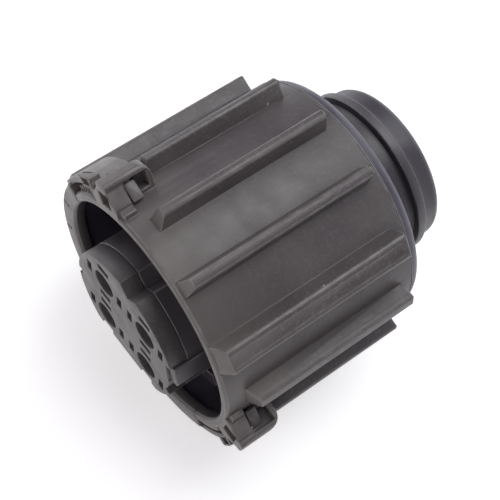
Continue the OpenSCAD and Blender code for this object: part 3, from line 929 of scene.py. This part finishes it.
@dataclass
class CouplingRing:
    """Split twist-lock ring: both clipped halves."""

    box_half: BoxHalf = field(default_factory=lambda: BoxHalf(
        "ring_half_boxes", Body.RING, Slot.RING,
        ribs=(GripRib(49.7, 0.65, 23.35), GripRib(77.1, 0.65, 23.65), GripRib(104.5, 0.65, 23.95),
              GripRib(163.3, 0.95, 23.65), GripRib(190.7, 0.65, 23.35))))
    hook_half: HookHalf = field(default_factory=lambda: HookHalf(
        "ring_half_hooks", Body.RING, Slot.RING,
        ribs=tuple(GripRib(angle, 0.95, 23.95) for angle in (15.7, 224.7, 254.9, 285.1, 315.3, 345.5))))
    finish: MouldedPlastic = field(default_factory=lambda: MouldedPlastic(
        "ring_plastic_warm", (0.062, 0.055, 0.056), (0.082, 0.074, 0.073), zones=(
            # painted light: the ring's outer surface paler towards the front end
            ToneZone((0.108, 0.098, 0.092), 0.65, (10.0, 2.0), (14.2, 14.5)),
            # painted shade: dark purple inside the ring's mouth
            ToneZone((0.030, 0.024, 0.044), 0.85, (0.7, 1.5), (14.5, 14.1)),
            # painted shade: dark bluish rear shoulder of the ring
            ToneZone((0.046, 0.042, 0.062), 0.9, (24.98, 25.3)))))

    def build(self) -> None:
        """Makes and dresses both halves."""
        material = self.finish.material()
        for half in (self.box_half, self.hook_half):
            half.build(material)


@dataclass
class HousingShell:
    """Housing with its carrier in the ring's mouth, collar and tail."""

    edge_mm: float = 0.15
    finish: MouldedPlastic = field(default_factory=lambda: MouldedPlastic(
        "housing_plastic_dark", (0.058, 0.053, 0.058), (0.076, 0.070, 0.075), zones=(
            # painted shade: the housing dark inside the ring, forward of 22 mm
            ToneZone((0.034, 0.030, 0.036), 0.85, (26.0, 22.0)),
            # darker bluish tone on the tail, from 31.4 to 31.8 mm onward
            ToneZone((0.038, 0.035, 0.043), 0.8, (31.4, 31.8)),)))

    def build(self) -> None:
        """Makes and dresses the housing."""
        Moulding("housing", Body.HOUSING, Slot.CARRIER, self.edge_mm).build(self.finish.material())


@dataclass
class FrontPlate:
    """Plate on the carrier's front that locks the contacts."""

    edge_mm: float = 0.08
    finish: MouldedPlastic = field(default_factory=lambda: MouldedPlastic(
        "plate_plastic_dark", (0.062, 0.057, 0.058), (0.080, 0.074, 0.074)))

    def build(self) -> None:
        """Makes and dresses the plate."""
        Moulding("front_plate", Body.PLATE, Slot.CARRIER, self.edge_mm).build(self.finish.material())


@dataclass
class SealSet:
    """Ring seal and the four wire seals."""

    nodes: tuple[str, ...] = ("ring_seal", "wire_seal_1", "wire_seal_2", "wire_seal_3", "wire_seal_4")
    finish: SealRubber = field(default_factory=SealRubber)

    def build(self) -> None:
        """Dresses the seals."""
        material = self.finish.material()
        for node in self.nodes:
            dress(node, material)


@dataclass
class ContactSet:
    """The four socket contacts."""

    count: int = 4
    finish: TinnedContact = field(default_factory=TinnedContact)

    def build(self) -> None:
        """Dresses the contacts."""
        material = self.finish.material()
        for number in range(1, self.count + 1):
            dress(f"contact_{number}", material)


def pick(piece: bpy.types.Object) -> None:
    """Makes one object the only one selected.

    Args:
        piece: object to select.
    """
    bpy.ops.object.select_all(action="DESELECT")
    piece.select_set(True)
    bpy.context.view_layer.objects.active = piece


def angle_round(point: Vector) -> float:
    """Gives a point's angle about the axis, in degrees from the +Y side."""
    return math.degrees(math.atan2(point.z, point.y)) % 360.0


def out_from_axis(point: Vector) -> float:
    """Gives a point's distance from the axis, in metres."""
    return math.hypot(point.y, point.z)


def placed_block(along_mm: Sequence[float], across_mm: Sequence[float], out_mm: Sequence[float],
                 angle_deg: float) -> bpy.types.Object:
    """Makes a block beside the ring, turned about the axis.

    Args:
        along_mm: both ends along the axis.
        across_mm: both sides round the ring, from the middle plane.
        out_mm: bottom and top, out from the axis.
        angle_deg: angle of the middle plane about the axis.

    Returns:
        The block, with its place in its mesh.
    """
    turn = math.radians(angle_deg)
    along, across, out = (sum(span) / 2 * MM for span in (along_mm, across_mm, out_mm))
    middle = (along, out * math.cos(turn) - across * math.sin(turn),
              out * math.sin(turn) + across * math.cos(turn))
    bpy.ops.object.select_all(action="DESELECT")
    bpy.ops.mesh.primitive_cube_add(size=1.0, location=middle, rotation=(turn - math.pi / 2, 0.0, 0.0))
    block = bpy.context.object
    block.scale = [(span[1] - span[0]) * MM for span in (along_mm, across_mm, out_mm)]
    bpy.ops.object.transform_apply(location=True, rotation=True, scale=True)
    return block


def carve(piece: bpy.types.Object, cutter: bpy.types.Object) -> None:
    """Cuts one object out of another and clears the cutter away.

    Args:
        piece: object that is cut.
        cutter: object that is cut out of it.
    """
    pick(piece)
    cut = piece.modifiers.new("carve", "BOOLEAN")
    cut.operation = "DIFFERENCE"
    cut.solver = "EXACT"
    cut.object = cutter
    bpy.ops.object.modifier_apply(modifier=cut.name)
    bpy.data.objects.remove(cutter)


def dress(node: str, material: bpy.types.Material) -> None:
    """Gives a CAD node its finish.

    Args:
        node: name of the node.
        material: finish of the node.
    """
    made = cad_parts[node]
    made.data.materials.clear()
    made.data.materials.append(material)
    LOG.info("dressed %s", node)


def main() -> None:
    """Builds the scene."""
    logging.basicConfig(level=logging.INFO, format="%(message)s")
    bpy.context.scene.view_settings.view_transform = "Standard"
    StudioCamera().build()
    low, high = (Vector(corner) for corner in CAD_BOX)
    Studio().build(low, high)
    for assembly in (CouplingRing(), HousingShell(), FrontPlate(), SealSet(), ContactSet()):
        assembly.build()


if __name__ == "__main__":
    main()
